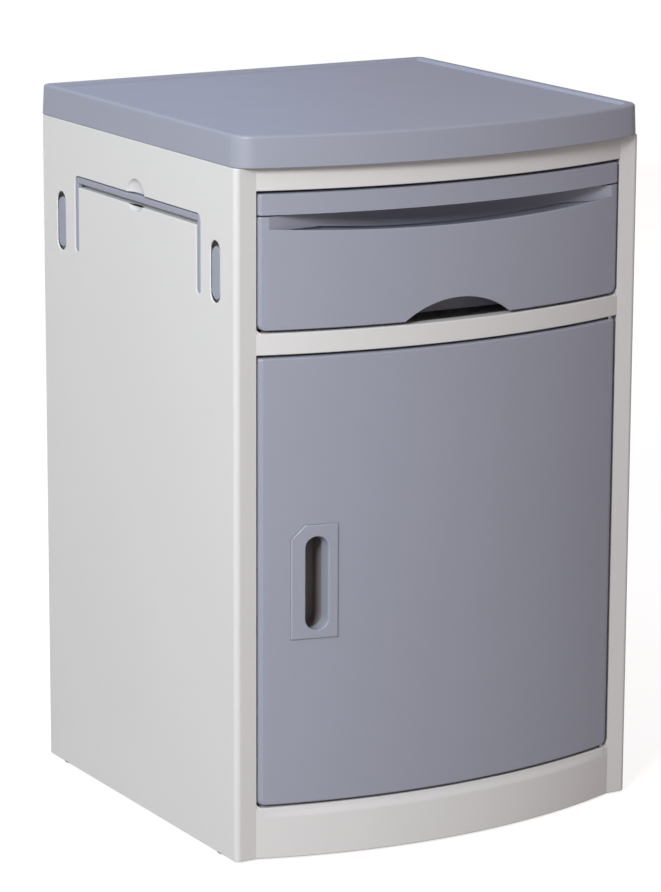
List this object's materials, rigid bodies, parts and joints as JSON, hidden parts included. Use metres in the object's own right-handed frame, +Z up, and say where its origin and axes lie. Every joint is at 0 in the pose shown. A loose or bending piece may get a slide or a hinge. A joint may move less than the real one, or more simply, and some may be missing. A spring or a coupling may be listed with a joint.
{
  "type": "bedside cabinet",
  "caption": "Hospital bedside cabinet with a bowed front: a pull-out dining board, a drawer, a hinged door over a cupboard, and folding towel rails and hooks on its sides.",
  "frame": {"origin": "centre of the footprint, on the floor", "axes": "+Z up, -Y towards the front of the cabinet, +X to the right of someone facing the front"},
  "size_m": [0.48, 0.48, 0.75],
  "materials": {
    "carcass_grey": "satin moulded ABS, light warm grey",
    "blue_grey": "satin moulded ABS, blue grey",
    "black_plastic": "matt black plastic",
    "nylon": "natural nylon",
    "zinc_steel": "zinc-plated steel"
  },
  "bodies": {
    "carcass": {"back_panel": "carcass_grey", "back_screw_lower_left": "zinc_steel", "back_screw_lower_right": "zinc_steel", "back_screw_upper_left": "zinc_steel", "back_screw_upper_right": "zinc_steel", "base_panel": "carcass_grey", "board_track_left": "carcass_grey", "board_track_right": "carcass_grey", "cupboard_shelf": "carcass_grey", "drawer_deck": "carcass_grey", "drawer_track_left": "zinc_steel", "drawer_track_right": "zinc_steel", "glide_front_left": "black_plastic", "glide_front_right": "black_plastic", "glide_rear_left": "black_plastic", "glide_rear_right": "black_plastic", "hinge_bush_lower": "nylon", "hinge_bush_upper": "nylon", "hook_pin_front_left": "zinc_steel", "hook_pin_front_right": "zinc_steel", "hook_pin_rear_left": "zinc_steel", "hook_pin_rear_right": "zinc_steel", "kick_plate": "carcass_grey", "magnetic_catch": "black_plastic", "mid_rail": "carcass_grey", "side_liner_left": "carcass_grey", "side_liner_right": "carcass_grey", "side_panel_left": "carcass_grey", "side_panel_right": "carcass_grey", "top_panel": "blue_grey", "top_rail": "carcass_grey", "towel_rail_pin_front_left": "zinc_steel", "towel_rail_pin_front_right": "zinc_steel", "towel_rail_pin_rear_left": "zinc_steel", "towel_rail_pin_rear_right": "zinc_steel"},
    "board": {"dining_board": "blue_grey"},
    "drawer": {"drawer_front": "blue_grey", "drawer_tray": "carcass_grey", "drawer_glide_left": "nylon", "drawer_glide_right": "nylon"},
    "door": {"door_skin": "blue_grey", "door_inner_panel": "carcass_grey", "handle_plate": "blue_grey", "handle_pocket": "black_plastic", "strike_plate": "zinc_steel", "hinge_pin_lower": "zinc_steel", "hinge_pin_upper": "zinc_steel"},
    "rail_left": {"towel_rail_left": "blue_grey"},
    "rail_right": {"towel_rail_right": "blue_grey"},
    "front_hook_left": {"hook_front_left": "blue_grey"},
    "rear_hook_left": {"hook_rear_left": "blue_grey"},
    "front_hook_right": {"hook_front_right": "blue_grey"},
    "rear_hook_right": {"hook_rear_right": "blue_grey"}
  },
  "joints": [
    {"name": "board_slide", "type": "slide", "parent": "carcass", "child": "board", "axis": [0, -1, 0], "range_m": [0, 0.28]},
    {"name": "drawer_slide", "type": "slide", "parent": "carcass", "child": "drawer", "axis": [0, -1, 0], "range_m": [0, 0.3]},
    {"name": "door_hinge", "type": "hinge", "parent": "carcass", "child": "door", "pos_m": [0.208, -0.19, 0.29175], "axis": [0, 0, 1], "range_deg": [0, 115]},
    {"name": "towel_rail_left_hinge", "type": "hinge", "parent": "carcass", "child": "rail_left", "pos_m": [-0.2365, 0.0202, 0.586], "axis": [0, -1, 0], "range_deg": [0, 90]},
    {"name": "front_hook_left_hinge", "type": "hinge", "parent": "carcass", "child": "front_hook_left", "pos_m": [-0.2365, -0.15, 0.5885], "axis": [0, -1, 0], "range_deg": [0, 70]},
    {"name": "rear_hook_left_hinge", "type": "hinge", "parent": "carcass", "child": "rear_hook_left", "pos_m": [-0.2365, 0.192, 0.5885], "axis": [0, -1, 0], "range_deg": [0, 70]},
    {"name": "towel_rail_right_hinge", "type": "hinge", "parent": "carcass", "child": "rail_right", "pos_m": [0.2365, 0.0202, 0.586], "axis": [0, 1, 0], "range_deg": [0, 90]},
    {"name": "front_hook_right_hinge", "type": "hinge", "parent": "carcass", "child": "front_hook_right", "pos_m": [0.2365, -0.15, 0.5885], "axis": [0, 1, 0], "range_deg": [0, 70]},
    {"name": "rear_hook_right_hinge", "type": "hinge", "parent": "carcass", "child": "rear_hook_right", "pos_m": [0.2365, 0.192, 0.5885], "axis": [0, 1, 0], "range_deg": [0, 70]}
  ]
}
